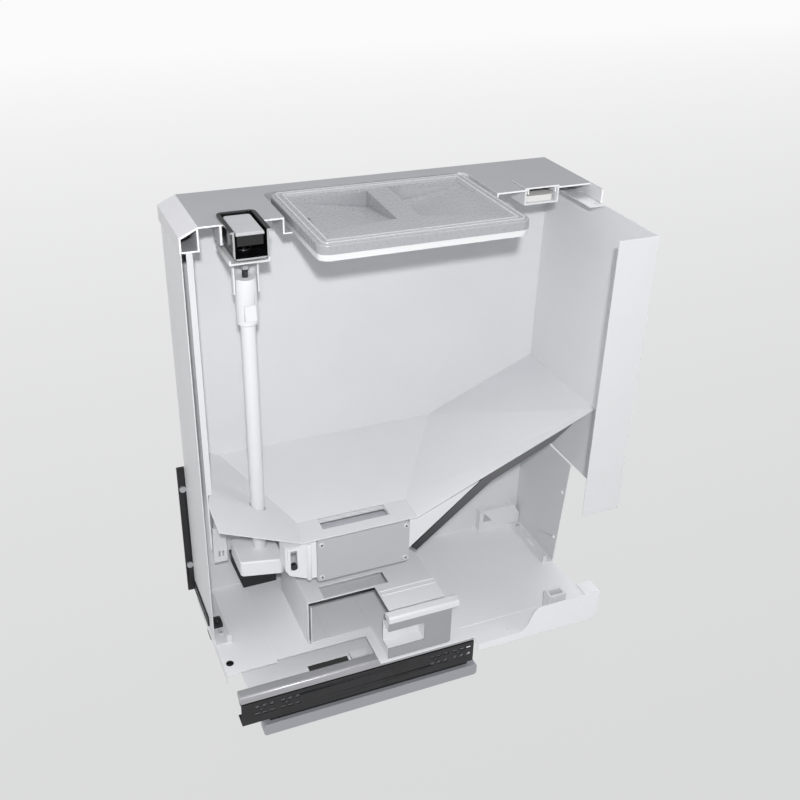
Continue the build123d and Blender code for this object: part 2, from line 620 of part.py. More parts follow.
# ---- Base plate with its folded skirt, and what stands on it ----
SKIRT_Y = -127.0
BASE_NEAR = -113.0
SEAM = 0.4
SKIRT_Z = (62.0, 105.0)
BASE_Z = (FLOOR - SHEET, FLOOR)
with BuildPart() as base_plate:
    plan = (
        (0, WALL_INSIDE),
        (LENGTH, WALL_INSIDE),
        (LENGTH, SKIRT_Y),
        (300, SKIRT_Y),
        (300, BASE_NEAR),
        (176, BASE_NEAR),
        (176, -62),
        (62, -62),
        (62, -66),
        (0, -66),
    )
    extrude(outline(level(BASE_Z[0]), plan), amount=SHEET)
    block((0, SHEET), (-66, WALL_INSIDE), (59, FLOOR))
    with BuildSketch(lengthwise(SKIRT_Y + SHEET)):
        with BuildLine():
            Polyline((389, SKIRT_Z[1]), (LENGTH, SKIRT_Z[1]), (LENGTH, SKIRT_Z[0] + 12))
            ThreePointArc((LENGTH, SKIRT_Z[0] + 12), (466.5, SKIRT_Z[0] + 3.5), (458, SKIRT_Z[0]))
            Polyline((458, SKIRT_Z[0]), (300, SKIRT_Z[0]), (300, FLOOR), (354, FLOOR))
            Spline((354, FLOOR), (389, SKIRT_Z[1]), tangents=((1, 0), (1, 0)))
        make_face()
    extrude(amount=SHEET)
    block((449, LENGTH), (SKIRT_Y, -104), (SKIRT_Z[1] - SHEET, SKIRT_Z[1]))
    block((62.4, 63.6), (-62, 79), (FLOOR, FLOOR + SEAM))
    block((291, 404), (-92.2, -91), (FLOOR, FLOOR + SEAM))
    pillar(8, -48, BASE_Z, 3.5, Mode.SUBTRACT)
    pillar(345, -116, BASE_Z, 2.2, Mode.SUBTRACT)
    for x, y in FLANGE_SCREWS:
        pillar(x, y, BASE_Z, SCREW_RADIUS, Mode.SUBTRACT)
save(base_plate, "base_plate")

with BuildPart() as flange_screws:
    for x, y in FLANGE_SCREWS:
        pillar(x, y, (FLOOR - 4, FLOOR + SHEET), SCREW_RADIUS)
        pillar(x, y, (FLOOR + SHEET, FLOOR + SHEET + 2), 3.4)
        pillar(x, y, (FLOOR + SHEET + 1, FLOOR + SHEET + 2), 1.2, Mode.SUBTRACT)
save(flange_screws, "flange_screws")

with BuildPart() as corner_block:
    profile = ((404, FLOOR), (468, FLOOR), (468, 88), (458, 105), (404, 105))
    extrude(outline(lengthwise(WALL_INSIDE), profile), amount=12)
    opening = ((410, 86), (424, 86), (410, 101))
    extrude(outline(lengthwise(WALL_INSIDE), opening), amount=12, mode=Mode.SUBTRACT)
save(corner_block, "corner_block")

with BuildPart() as socket_box:
    block((405, 428), (-115, -100), (FLOOR, 105))
    block((408, 425), (-112, -103), (FLOOR + WALL, 105), Mode.SUBTRACT)
save(socket_box, "socket_box")

with BuildPart() as floor_clip:
    block((4, 16), (16, 28), (FLOOR + SHEET, 82))
    fillet(floor_clip.edges().filter_by(Axis.Y).group_by(Axis.Z)[-1], radius=3)
save(floor_clip, "floor_clip")

with BuildPart() as wall_block:
    profile = ((46, 130), (46, 118), (59.5, FLOOR), (104, FLOOR), (104, 130))
    extrude(outline(lengthwise(WALL_INSIDE), profile), amount=WALL_INSIDE - 80)
save(wall_block, "wall_block")


# ---- Cup bay, partly cut away, and the catch cup that slides out of it ----
with BuildPart() as cup_bay:
    block(BAY_X, BAY_Y, (FLOOR, BAY_TOP))
    inside = (BAY_X[0] + PANEL, BAY_X[1] - PANEL)
    block(inside, (BAY_Y[0], BAY_Y[1] - PANEL), (FLOOR, BAY_TOP - PANEL), Mode.SUBTRACT)
    block((BAY_X[0], BAY_CUT_X), (BAY_Y[0], BAY_CUT_Y), (FLOOR, BAY_TOP), Mode.SUBTRACT)
    block(OUTLET_X, OUTLET_Y, (BAY_TOP - PANEL, BAY_TOP), Mode.SUBTRACT)
    for step in (0, 8):
        block((BAY_CUT_X + 2, BAY_X[1]), (-72 + step, -70 + step), (BAY_TOP, BAY_TOP + 1))
save(cup_bay, "cup_bay")

TRIM_Z = (BAY_TOP - PANEL - 4, BAY_TOP - PANEL)
with BuildPart() as bay_trim:
    block((BAY_X[0] + PANEL, BAY_CUT_X), (BAY_CUT_Y, BAY_CUT_Y + PANEL), TRIM_Z)
    block((BAY_CUT_X, BAY_CUT_X + PANEL), (BAY_Y[0], BAY_CUT_Y + PANEL), TRIM_Z)
save(bay_trim, "bay_trim")

RECESS_X = (187.0, 234.0)
RECESS_Z = (87.5, 115.0)
RECESS_BACK = -92.0
CUP_FRONT = 2.5
TRAY_RIBS = (130.5, 186.0)
with BuildPart() as catch_cup:
    tray_z = (TRAY_FLOOR, PANEL_Z[1])
    floor_top = TRAY_FLOOR + PANEL
    block(TRAY_X, (PANEL_Y[1], TRAY_FAR), tray_z)
    tray_in = (TRAY_X[0] + PANEL, TRAY_X[1] - PANEL)
    tray_in_y = (PANEL_Y[1] + CUP_FRONT, TRAY_FAR - PANEL)
    block(tray_in, tray_in_y, (floor_top, tray_z[1]), Mode.SUBTRACT)
    block((TRAY_X[0], PANEL_X[0]), (PANEL_Y[1], BAY_CUT_Y), tray_z, Mode.SUBTRACT)
    for rib in TRAY_RIBS:
        block((rib, rib + 1), (BAY_CUT_Y, TRAY_FAR - PANEL), (floor_top, floor_top + SEAM))
    pocket = (RECESS_X[0], RECESS_X[1] + PANEL)
    pocket_z = (RECESS_Z[0] - PANEL, RECESS_Z[1] + PANEL)
    block(pocket, (PANEL_Y[1], RECESS_BACK + PANEL), pocket_z)
    block(RECESS_X, (PANEL_Y[1], RECESS_BACK), RECESS_Z, Mode.SUBTRACT)
save(catch_cup, "catch_cup")

with BuildPart() as cup_plate:
    block(PANEL_X, PANEL_Y, PANEL_Z)
    block(RECESS_X, PANEL_Y, RECESS_Z, Mode.SUBTRACT)
    plate_edges = cup_plate.edges().filter_by(Axis.Y)
    fillet(plate_edges.group_by(Axis.X)[-1].sort_by(Axis.Z)[0], radius=4)
save(cup_plate, "cup_plate")

with BuildPart() as cup_rail:
    block((PANEL_X[0] - 1, PANEL_X[1] + 8), (PANEL_Y[0] - 3, -99), (PANEL_Z[1], BAY_TOP))
    fillet(cup_rail.edges().filter_by(Axis.X).group_by(Axis.Z)[-1], radius=3)
save(cup_rail, "cup_rail")


# ---- Slides: cabinet member, middle member and drawer member on each side ----
HOLE_STEPS = (0.0, 9.0, 18.0, 31.0, 40.0, 49.0)
HOLE_RADIUS = 2.6
SPARE_RADIUS = 1.6
ROUND_ROWS = {24.0: 52.0, 248.0: 41.0}
SLOT_ROWS = {24.0: 41.0, 248.0: 52.0}


def slide_set(side, y):
    """Three nested members, the cabinet one outermost; y turns a near pair to its side."""
    with BuildPart() as cabinet:
        block(SLIDE_X, y((SLIDE_FACE, SLIDE_FACE + PANEL)), SLIDE_Z)
        block(SLIDE_X, y((SLIDE_FACE, -90)), (SLIDE_Z[0], SLIDE_Z[0] + PANEL))
        block(SLIDE_X, y((SLIDE_FACE, -103)), (SLIDE_Z[1] - PANEL, SLIDE_Z[1]))
        block((40, 300), y((-101, -95)), (RAIL_TOP, SLIDE_Z[0]))
        face = y((SLIDE_FACE, SLIDE_FACE + PANEL))
        for start, row in ROUND_ROWS.items():
            slot_z = (SLOT_ROWS[start] - 1.6, SLOT_ROWS[start] + 1.6)
            for step in HOLE_STEPS:
                x = start + step
                bar_y(x, face, row, HOLE_RADIUS, Mode.SUBTRACT)
                block((x - 3.2, x + 3.2), face, slot_z, Mode.SUBTRACT)
            for step in (HOLE_STEPS[1] / 2, sum(HOLE_STEPS[3:5]) / 2):
                bar_y(start + step, face, sum(SLOT_ROWS.values()) / 2, SPARE_RADIUS, Mode.SUBTRACT)
    save(cabinet, f"cabinet_slide_{side}")

    with BuildPart() as middle:
        block((SLIDE_X[0] + 3, SLIDE_X[1] - 3), y((-105, -93)), (33, 55))
        block((SLIDE_X[0] + 3, SLIDE_X[1] - 3), y((-105, -95)), (36, 52), Mode.SUBTRACT)
    save(middle, f"middle_slide_{side}")

    with BuildPart() as drawer:
        block(SLIDE_X, y((-107, -91)), (61.5, BASE_Z[0]))
        fillet(drawer.edges().filter_by(Axis.X).group_by(Axis.Z)[-1], radius=4)
        block(SLIDE_X, y((-101.5, -97)), (56, 61.5))
    save(drawer, f"drawer_slide_{side}")

    with BuildPart() as rail:
        block(RAIL_X, y(RAIL_Y), (0, RAIL_TOP))
        fillet(rail.edges().filter_by(Axis.Y), radius=4)
        middle_x = sum(RAIL_X) / 2
        for x in (middle_x - BOLT_SPACING / 2, middle_x + BOLT_SPACING / 2):
            pillar(x, sum(y(RAIL_Y)) / 2, (0, RAIL_TOP), BOLT_RADIUS, Mode.SUBTRACT)
    save(rail, f"foot_rail_{side}")


slide_set("near", tuple)
slide_set("far", opposite)

CROSS_Z = (39.0, 40.5)
CROSS_X = (24.0, 290.0)
with BuildPart() as cross_plate:
    leg = (-90.0, -88.5)
    block(CROSS_X, (leg[0], opposite(leg)[1]), CROSS_Z)
    for side in (leg, opposite(leg)):
        block(CROSS_X, side, (SLIDE_Z[0], CROSS_Z[0]))
    block((102, 154), (-71, -54), CROSS_Z, Mode.SUBTRACT)
    block((156, 178), (-68, -56), (CROSS_Z[1], CROSS_Z[1] + 7))
save(cross_plate, "cross_plate")


# ---- Door bracket with its adjusters, outside the front wall ----
BRACKET_Z = (78.0, 266.0)
DOOR_HOLES = (34.0, 74.0)
ADJUSTERS = (120.0, 236.0)
with BuildPart() as door_bracket:
    block((-BRACKET_STANDOFF, FRONT_SHEET[0]), (94, 97), BRACKET_Z)
    block((-2, FRONT_SHEET[0]), (18, 104), (BRACKET_Z[0], BRACKET_Z[0] + 14))
    for y in DOOR_HOLES:
        bar_x((-2, FRONT_SHEET[0]), y, BRACKET_Z[0] + 7, BOLT_RADIUS, Mode.SUBTRACT)
    for z in ADJUSTERS:
        bar_y(-4.5, (94, 97), z, 2, Mode.SUBTRACT)
save(door_bracket, "door_bracket")

with BuildPart() as bracket_adjusters:
    for z in ADJUSTERS:
        bar_y(-4.5, (91, 94), z, 4)
        bar_y(-4.5, (94, 97), z, 2)
save(bracket_adjusters, "bracket_adjusters")
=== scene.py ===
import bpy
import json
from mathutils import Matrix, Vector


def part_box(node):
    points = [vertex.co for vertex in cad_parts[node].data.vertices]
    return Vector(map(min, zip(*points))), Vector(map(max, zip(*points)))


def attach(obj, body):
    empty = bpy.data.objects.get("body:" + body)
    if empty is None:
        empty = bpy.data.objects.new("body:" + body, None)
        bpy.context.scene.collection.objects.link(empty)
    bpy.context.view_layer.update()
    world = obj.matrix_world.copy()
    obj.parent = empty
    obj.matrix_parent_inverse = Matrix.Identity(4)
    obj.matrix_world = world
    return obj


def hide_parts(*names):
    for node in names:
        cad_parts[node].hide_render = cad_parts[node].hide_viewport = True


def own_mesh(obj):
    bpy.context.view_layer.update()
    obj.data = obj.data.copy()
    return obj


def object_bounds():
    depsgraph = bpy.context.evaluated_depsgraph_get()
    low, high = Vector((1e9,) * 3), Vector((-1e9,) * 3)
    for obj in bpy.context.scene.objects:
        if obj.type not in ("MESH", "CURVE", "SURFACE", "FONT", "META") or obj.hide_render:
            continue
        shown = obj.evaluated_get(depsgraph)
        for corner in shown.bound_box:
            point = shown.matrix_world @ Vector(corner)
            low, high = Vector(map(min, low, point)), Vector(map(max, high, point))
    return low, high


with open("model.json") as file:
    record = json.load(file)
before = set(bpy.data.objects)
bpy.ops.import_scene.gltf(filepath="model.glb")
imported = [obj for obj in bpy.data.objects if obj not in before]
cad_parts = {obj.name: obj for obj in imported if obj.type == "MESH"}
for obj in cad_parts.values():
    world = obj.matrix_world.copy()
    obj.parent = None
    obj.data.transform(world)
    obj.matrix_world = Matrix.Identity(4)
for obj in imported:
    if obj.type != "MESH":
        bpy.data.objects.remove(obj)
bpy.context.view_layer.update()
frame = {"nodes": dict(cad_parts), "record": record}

import json
import math

import bmesh
import bpy
from mathutils import Euler, Matrix, Vector

MM = 0.001
nodes = frame["nodes"]
low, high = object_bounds()
SECTION_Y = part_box("desiccant_cap")[0].y


# ---------------------------------------------------------------- materials
def node_tree(name):
    """A new material, its node tree and its Principled shader."""
    made = bpy.data.materials.new(name)
    made.use_nodes = True
    tree = made.node_tree
    shader = tree.nodes["Principled BSDF"]
    return made, tree, shader


def noise(tree, place, size, detail=2.0, roughness=0.5):
    """Noise whose features are about size metres across, in object space."""
    made = tree.nodes.new("ShaderNodeTexNoise")
    made.inputs["Scale"].default_value = 1 / size
    made.inputs["Detail"].default_value = detail
    made.inputs["Roughness"].default_value = roughness
    tree.links.new(place, made.inputs["Vector"])
    return made.outputs["Fac"]


def remap(tree, value, low_in, high_in, low_out, high_out):
    """Value carried from one range to another, and held at the new range's ends."""
    made = tree.nodes.new("ShaderNodeMapRange")
    ends = (low_in, high_in, low_out, high_out)
    for socket, number in zip(("From Min", "From Max", "To Min", "To Max"), ends):
        made.inputs[socket].default_value = number
    tree.links.new(value, made.inputs["Value"])
    return made.outputs["Result"]


def maths(tree, operation, first, second):
    """A math node on two sockets or numbers."""
    made = tree.nodes.new("ShaderNodeMath")
    made.operation = operation
    for socket, value in zip(made.inputs, (first, second)):
        if isinstance(value, (int, float)):
            socket.default_value = value
        else:
            tree.links.new(value, socket)
    return made.outputs["Value"]


def mix(tree, factor, first, second):
    """Colour mix; factor is a socket or a number, first and second are sockets or colours."""
    made = tree.nodes.new("ShaderNodeMix")
    made.data_type = "RGBA"
    if isinstance(factor, float):
        made.inputs["Factor"].default_value = factor
    else:
        tree.links.new(factor, made.inputs["Factor"])
    for socket, value in ((made.inputs[6], first), (made.inputs[7], second)):
        if isinstance(value, (tuple, list)):
            socket.default_value = (*value[:3], 1)
        else:
            tree.links.new(value, socket)
    return made.outputs[2]


def separate(tree, vector):
    """X, Y and Z outputs of a vector."""
    made = tree.nodes.new("ShaderNodeSeparateXYZ")
    tree.links.new(vector, made.inputs["Vector"])
    return made.outputs


def bump_up(tree, shader, height, strength, distance):
    """Raise the shader's surface by a height socket, distance metres at most."""
    made = tree.nodes.new("ShaderNodeBump")
    made.inputs["Strength"].default_value = strength
    made.inputs["Distance"].default_value = distance
    tree.links.new(height, made.inputs["Height"])
    tree.links.new(made.outputs["Normal"], shader.inputs["Normal"])


def shade(colour, factor):
    """A colour made darker or lighter by a factor."""
    return tuple(min(1.0, part * factor) for part in colour)


# What the surfaces carry: sizes of the marks, how near the section plane its colour reaches, shares
DRIFT_SIZE = 60 * MM
GLOSS_SIZE = 20 * MM
SPECK_SIZE = 1.4 * MM
STREAK_SIZE = 0.5 * MM
STREAK_STRETCH = (0.03, 1, 1)
CUT_DEPTH = 0.6 * MM
FINE_SHARE = 0.45
GLOSS_SWING = 0.15
BUMP_STRENGTH = 0.5
PALE_CUT = (0.90, 0.90, 0.91)


def finish(
    name,
    colour,
    roughness,
    metallic=0.0,
    grain=0.6 * MM,
    grain_height=0.02 * MM,
    mottle=0.04,
    streak=0.0,
    cut=None,
    speck=0.0,
    coat=0.0,
    cut_colour=PALE_CUT,
    painted_shading=None,
    forward_sheen=None,
):
    """A surface with fine grain, slow colour drift and uneven gloss.

    If asked, it also has brushed streaks, dark specks, painted shading that changes its colour with
    height (from height, to height, colour), a painted sheen in another colour on the faces that look to
    the front (-X), and a paler face on the section plane y = cut.
    """
    made, tree, shader = node_tree(name)
    coords = tree.nodes.new("ShaderNodeTexCoord")
    place = coords.outputs["Object"]
    slow = noise(tree, place, DRIFT_SIZE, 3)
    fine = noise(tree, place, grain, 2, 0.6)
    base = mix(tree, slow, shade(colour, 1 - mottle), shade(colour, 1 + mottle))
    grainy = remap(tree, fine, 0.35, 0.65, 0, 1)
    tint = mix(tree, grainy, shade(colour, 1 - mottle * 0.8), shade(colour, 1 + mottle * 0.5))
    result = mix(tree, FINE_SHARE, base, tint)
    height = fine
    if streak:
        stretch = tree.nodes.new("ShaderNodeMapping")
        stretch.inputs["Scale"].default_value = STREAK_STRETCH
        tree.links.new(place, stretch.inputs["Vector"])
        lines = noise(tree, stretch.outputs["Vector"], STREAK_SIZE, 2)
        result = mix(tree, remap(tree, lines, 0.3, 0.7, 0, streak), result, shade(colour, 0.6))
        height = lines
    if speck:
        spots = noise(tree, place, SPECK_SIZE, 1)
        result = mix(tree, remap(tree, spots, 0.72, 0.8, 0, speck), result, shade(colour, 0.55))
    # Painted shading: between two heights the colour turns towards a lit colour
    if painted_shading:
        shading_from, shading_to, lit_colour = painted_shading
        reach = remap(tree, separate(tree, place)["Z"], shading_from, shading_to, 0, 1)
        result = mix(tree, reach, result, lit_colour)
    # Painted sheen: faces that look to the front (-X) take another colour in place of the light glancing
    # off them
    if forward_sheen:
        sheen_facing = separate(tree, coords.outputs["Normal"])["X"]
        result = mix(tree, remap(tree, sheen_facing, -0.35, -0.25, 1, 0), result, forward_sheen)
    if cut is not None:
        near = maths(tree, "LESS_THAN", separate(tree, place)["Y"], cut + CUT_DEPTH)
        turned = maths(tree, "LESS_THAN", separate(tree, coords.outputs["Normal"])["Y"], -0.6)
        result = mix(tree, maths(tree, "MULTIPLY", near, turned), result, cut_colour)
    tree.links.new(result, shader.inputs["Base Color"])
    polished, dull = roughness * (1 - GLOSS_SWING), min(1, roughness * (1 + GLOSS_SWING))
    gloss = remap(tree, noise(tree, place, GLOSS_SIZE, 3), 0.3, 0.7, polished, dull)
    tree.links.new(gloss, shader.inputs["Roughness"])
    shader.inputs["Metallic"].default_value = metallic
    shader.inputs["Coat Weight"].default_value = coat
    bump_up(tree, shader, height, BUMP_STRENGTH, grain_height)
    return made


COVER = (0.36, 0.365, 0.385)
# Painted sheen of the cover: the paler colour given to its faces that look to the front (-X)
COVER_SHEEN = (0.66, 0.66, 0.68)
WHITE = (0.70, 0.71, 0.725)
SHEET = (0.82, 0.83, 0.85)
NEAR_BLACK = (0.006, 0.006, 0.007)
# Painted light: the lighter colour that the dark strap turns to at its top
STRAP_LIT_TOP = (0.17, 0.17, 0.18)
BEZEL_CUT = (0.42, 0.42, 0.43)
STRAP_Z = (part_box("support_strap")[0].z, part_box("support_strap")[1].z)
PAINTED = {"grain": 1.2 * MM, "grain_height": 0.03 * MM}
MOULDED = {"grain": 0.9 * MM, "grain_height": 0.06 * MM}
GLOSSY_BLACK = {"grain": 0.8 * MM, "mottle": 0.2, "coat": 0.3}
# Name: colour, roughness, values shared with other looks, its own values
FINISHES = {
    # cover_grey's faces that look to the front get a paler painted sheen
    "cover_grey": (COVER, 0.42, MOULDED, {
        "mottle": 0.06, "speck": 0.12, "cut": SECTION_Y, "forward_sheen": COVER_SHEEN,
    }),
    "white_sheet": (WHITE, 0.48, PAINTED, {"mottle": 0.045, "speck": 0.05}),
    "base_sheet": (SHEET, 0.42, PAINTED, {"mottle": 0.04, "speck": 0.08}),
    "hopper_sheet": ((0.70, 0.71, 0.73), 0.45, PAINTED, {
        "grain": 1.0 * MM, "mottle": 0.04, "speck": 0.08,
    }),
    "seal_white": ((0.74, 0.74, 0.75), 0.55, {}, {"mottle": 0.03}),
    "white_plastic": ((0.74, 0.745, 0.76), 0.38, {}, {"mottle": 0.025, "speck": 0.03}),
    "light_plastic": ((0.74, 0.75, 0.77), 0.42, {}, {"mottle": 0.05, "speck": 0.06}),
    "plate_grey": ((0.33, 0.335, 0.35), 0.45, MOULDED, {"mottle": 0.06, "speck": 0.1}),
    "black_plastic": (NEAR_BLACK, 0.25, GLOSSY_BLACK, {}),
    "silver_cap": ((0.60, 0.61, 0.63), 0.36, {}, {"metallic": 0.35, "mottle": 0.05, "streak": 0.15}),
    "zinc_steel": ((0.48, 0.49, 0.51), 0.38, {}, {"metallic": 0.5, "mottle": 0.08, "streak": 0.25}),
    "dark_steel": ((0.10, 0.10, 0.105), 0.4, {}, {"metallic": 0.8, "mottle": 0.15}),
    "black_slide": ((0.013, 0.013, 0.015), 0.5, {}, {
        "grain": 1.6 * MM, "grain_height": 0.06 * MM, "mottle": 0.75, "speck": 0.5,
    }),
    "foot_grey": ((0.36, 0.37, 0.40), 0.4, {}, {"metallic": 0.2, "mottle": 0.05, "streak": 0.1}),
    # dark_strap's colour is painted shade and light: near black at its foot, lighter towards its top
    "dark_strap": ((0.02, 0.02, 0.023), 0.5, {}, {"mottle": 0.25, "painted_shading": (*STRAP_Z, STRAP_LIT_TOP)}),
    "drum_grey": ((0.42, 0.43, 0.46), 0.4, {}, {"mottle": 0.05}),
    "pack_white": ((0.75, 0.75, 0.73), 0.9, {}, {
        "grain": 0.4 * MM, "grain_height": 0.1 * MM, "mottle": 0.05,
    }),
    # The next four are for single nodes and pieces that differ a little from their slot
    "slide_steel": ((0.45, 0.45, 0.47), 0.36, {}, {
        "metallic": 0.35, "mottle": 0.12, "streak": 0.35, "speck": 0.2,
    }),
    "plate_plastic": ((0.45, 0.455, 0.475), 0.45, MOULDED, {"mottle": 0.06, "speck": 0.08}),
    "bezel_black": (NEAR_BLACK, 0.25, GLOSSY_BLACK, {
        "cut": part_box("button_bezel")[0].y, "cut_colour": BEZEL_CUT,
    }),
    "screw_zinc": ((0.66, 0.67, 0.69), 0.35, {}, {"metallic": 0.25, "mottle": 0.06, "grain": 0.4 * MM}),
}
look = {
    name: finish(name, colour, roughness, **{**shared, **own})
    for name, (colour, roughness, shared, own) in FINISHES.items()
}


SMOKE_DARK, SMOKE_LIGHT = (0.36, 0.365, 0.385), (0.39, 0.395, 0.415)
SMOKE_GRAIN = (0.32, 0.325, 0.345)
# Painted highlight on the lid's topmost crests: its colour, and how far below the top it starts and is
# full
CREST_HIGHLIGHT = (0.72, 0.72, 0.73)
HIGHLIGHT_FROM, HIGHLIGHT_TO = 0.5 * MM, 0.1 * MM
ACRYLIC_IOR = 1.49


def smoke():
    """Smoke-grey plastic of the lid: opaque and softly glossy, with a painted highlight on its topmost
    crests.
    """
    made, tree, shader = node_tree("smoke_lid")
    place = tree.nodes.new("ShaderNodeTexCoord").outputs["Object"]
    drift = noise(tree, place, 50 * MM, 3)
    grainy = remap(tree, noise(tree, place, 0.9 * MM, 2), 0.35, 0.65, 0, 0.18)
    colour = mix(tree, drift, SMOKE_DARK, SMOKE_LIGHT)
    colour = mix(tree, grainy, colour, SMOKE_GRAIN)
    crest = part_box("lid")[1].z
    # Painted highlight: the crests are lightened where they would catch the light
    highlight_share = remap(tree, separate(tree, place)["Z"], crest - HIGHLIGHT_FROM, crest - HIGHLIGHT_TO, 0, 0.6)
    colour = mix(tree, highlight_share, colour, CREST_HIGHLIGHT)
    tree.links.new(colour, shader.inputs["Base Color"])
    gloss = remap(tree, noise(tree, place, 4 * MM, 2), 0.3, 0.7, 0.24, 0.34)
    tree.links.new(gloss, shader.inputs["Roughness"])
    shader.inputs["IOR"].default_value = ACRYLIC_IOR
    bump_up(tree, shader, noise(tree, place, 0.8 * MM, 2), 0.15, 0.01 * MM)
    return made


look["smoke_lid"] = smoke()


# ---------------------------------------------------------------- CAD nodes
EDGE_WIDTH = 0.3 * MM
EDGE_ANGLE = math.radians(40)
WELD_DISTANCE = 0.01 * MM


def soften(piece):
    """Weld the mesh and round its sharp edges, so that they catch the light."""
    weld = piece.modifiers.new("weld", "WELD")
    weld.merge_threshold = WELD_DISTANCE
    bevel = piece.modifiers.new("bevel", "BEVEL")
    bevel.width = EDGE_WIDTH
    bevel.segments = 2
    bevel.limit_method = "ANGLE"
    bevel.angle_limit = EDGE_ANGLE
    bevel.harden_normals = True


for part in frame["record"]["subparts"]:
    name = part["node"]
    nodes[name].data.materials.clear()
    nodes[name].data.materials.append(look[part["material_slot"]])
    soften(nodes[name])
for name, own_look in (
    ("button_bezel", "bezel_black"),
    ("drawer_slide_near", "slide_steel"),
    ("drawer_slide_far", "slide_steel"),
    ("housing_plate", "plate_plastic"),
):
    nodes[name].data.materials[0] = look[own_look]
# A bevel would draw lines between the screw holes across the flat housing plate
nodes["housing_plate"].modifiers.remove(nodes["housing_plate"].modifiers["bevel"])


# ---------------------------------------------------------------- detailed pieces
SHARP = math.radians(35)


def skin(name, rings, material, tube=False, sharp=SHARP):
    """Closed object through rings of points, each joined to the next, capped or made into a tube."""
    mesh = bmesh.new()
    loops = [[mesh.verts.new(point) for point in ring] for ring in rings]
    pairs = list(zip(loops, loops[1:]))
    if tube:
        pairs.append((loops[-1], loops[0]))
    for one, two in pairs:
        for index, corner in enumerate(one):
            mesh.faces.new((one[index - 1], corner, two[index], two[index - 1]))
    if not tube:
        mesh.faces.new(loops[0])
        mesh.faces.new(reversed(loops[-1]))
    bmesh.ops.recalc_face_normals(mesh, faces=mesh.faces)
    return solid(name, mesh, material, sharp)


def solid(name, mesh, material, sharp=SHARP):
    """Object from a bmesh, smooth shaded except over sharp edges."""
    for edge in mesh.edges:
        if len(edge.link_faces) == 2 and edge.calc_face_angle(0) > sharp:
            edge.smooth = False
    for face in mesh.faces:
        face.smooth = True
    data = bpy.data.meshes.new(name)
    mesh.to_mesh(data)
    mesh.free()
    piece = bpy.data.objects.new(name, data)
    bpy.context.scene.collection.objects.link(piece)
    data.materials.append(material)
    return piece


LEAST_RADIUS = 1.5 * MM
CORNER_STEPS = 10


def rounded_ring(box_low, box_high, inset, radius, z):
    """Rounded rectangle at height z, inset from a box's plan outline of that corner radius."""
    radius = max(radius - inset, LEAST_RADIUS)
    ring = []
    for quarter, (right, far) in enumerate(((1, 1), (0, 1), (0, 0), (1, 0))):
        x = (box_high.x - inset - radius) if right else (box_low.x + inset + radius)
        y = (box_high.y - inset - radius) if far else (box_low.y + inset + radius)
        for step in range(CORNER_STEPS + 1):
            angle = math.pi / 2 * (quarter + step / CORNER_STEPS)
            ring.append(Vector((x + radius * math.cos(angle), y + radius * math.sin(angle), z)))
    return ring


def circle_at(centre, radius, z, count, wave=None):
    """Ring of count points at height z; wave(angle), if given, pulls the ring in by its result."""
    ring = []
    for index in range(count):
        angle = 2 * math.pi * index / count
        reach = radius - (wave(angle) if wave else 0)
        ring.append(Vector((centre.x + reach * math.cos(angle), centre.y + reach * math.sin(angle), z)))
    return ring


# Lid: a double-ridged frame round a panel with two finger recesses that deepen towards the bar.
# The profile is (inset, rise) in mm, from the foot of the outer wall over both ridges and back below.
LID_CORNER = 12 * MM
LID_FRAME_HEIGHT = 11
LID_SHARP = math.radians(18)
LID_PROFILE = (
    (0, 0), (0, 8.2), (0.3, 9.0), (1.0, 9.4), (3.6, 9.5), (4.0, 9.7), (4.4, 10.6), (5.0, 10.9),
    (6.0, 10.9), (6.5, 10.5), (6.9, 9.9), (10.4, 9.9), (10.8, 10.4), (11.3, 11.0), (12.6, 11.0),
    (13.1, 10.6), (14.6, 8.9), (15.1, 8.6), (17, 8.6), (17, 6.6), (5, 6.6), (3, 3.5), (3, 0),
)
lid_low, lid_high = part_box("lid")
frame_rings = [
    rounded_ring(lid_low, lid_high, inset * MM, LID_CORNER, lid_high.z - (LID_FRAME_HEIGHT - rise) * MM)
    for inset, rise in LID_PROFILE
]
lid_frame = skin("lid_frame", frame_rings, look["smoke_lid"], tube=True, sharp=LID_SHARP)

# Plan corners of each recess in mm from the lid's middle: outer near, bar near, bar far, outer far
LEFT_RECESS = ((102, -45), (14, -32), (11, 61.5), (95, 45.5))
RIGHT_RECESS = ((70, -45.5), (12, -33), (16, 65.5), (93, 44))
RECESS_DEEPEST = 17 * MM
RECESS_NEAR_SHARE = 0.22
PANEL_DROP = 2.5 * MM
PANEL_INSET = 16 * MM
PANEL_THICKNESS = 1.8 * MM
PANEL_SHARP = math.radians(4)
PANEL_STEPS = 14
SAME_POINT = 0.02 * MM
panel_z = lid_high.z - PANEL_DROP
lid_middle = (lid_low + lid_high) / 2
panel_reach = Vector((lid_high.x - lid_middle.x - PANEL_INSET, lid_high.y - lid_middle.y - PANEL_INSET))


def sweep_round(corners):
    """Points along a quadrilateral's sides, starting at its first corner."""
    points = []
    for index in range(4):
        start, stop = corners[index], corners[(index + 1) % 4]
        points += [start.lerp(stop, step / PANEL_STEPS) for step in range(PANEL_STEPS)]
    return points


def sunk(hole, bar, far):
    """Point on a recess's floor, by how far it lies towards the bar and the far side, each 0 to 1."""
    flat = hole[0].lerp(hole[1], bar).lerp(hole[3].lerp(hole[2], bar), far)
    share = RECESS_NEAR_SHARE + (1 - RECESS_NEAR_SHARE) * far
    return flat - Vector((0, 0, RECESS_DEEPEST * bar * share))


def add_face(mesh, points):
    """Face on corners of its own; equal corners are merged when the mesh is whole."""
    mesh.faces.new([mesh.verts.new(point) for point in points])


